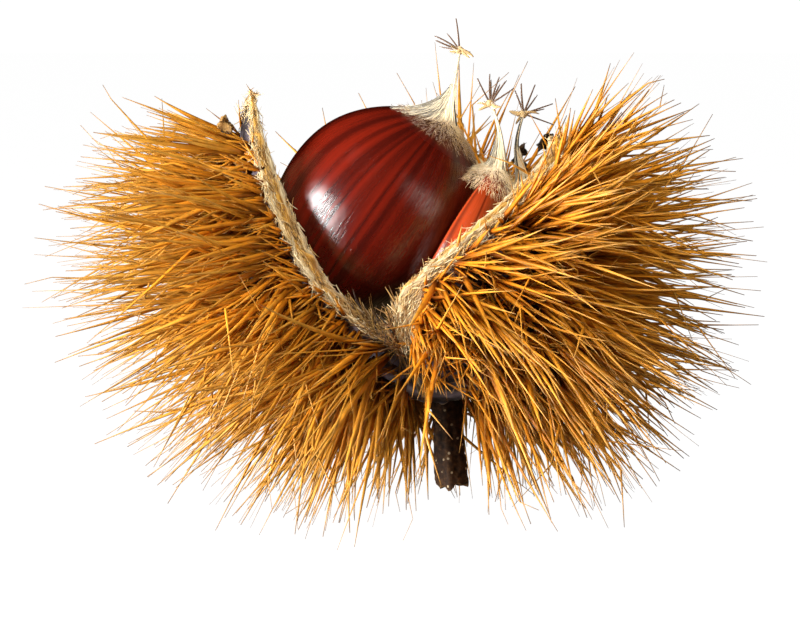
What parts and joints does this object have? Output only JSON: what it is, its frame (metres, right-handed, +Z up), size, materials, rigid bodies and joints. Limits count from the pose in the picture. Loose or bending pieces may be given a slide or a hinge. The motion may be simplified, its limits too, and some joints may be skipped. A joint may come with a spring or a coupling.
{
  "type": "chestnut in its husk",
  "caption": "Spiny chestnut burr split open along its seams, with glossy nuts in the cup and a short cut stalk, resting on its lower spines.",
  "frame": {"origin": "on the ground under the middle of the burr's overall box", "axes": "+X to the right across the open front, +Y away from the open front towards the back valve, +Z up"},
  "size_m": [0.107, 0.089, 0.0719],
  "materials": {
    "husk": "dry golden-ochre spines on a fibrous tan wall, matt",
    "nut_shell": "polished mahogany-red leathery shell with darker stripes",
    "style_silk": "dry cream silky hair, matt",
    "stalk_bark": "dark brown bark with small pale pores, matt"
  },
  "bodies": {
    "root": {"left_valve": "husk", "right_valve": "husk", "back_valve": "husk", "large_nut": "nut_shell", "middle_nut": "nut_shell", "small_nut": "nut_shell", "large_nut_style_tuft": "style_silk", "middle_nut_style_tuft": "style_silk", "small_nut_style_tuft": "style_silk", "stem": "stalk_bark"}
  },
  "joints": []
}
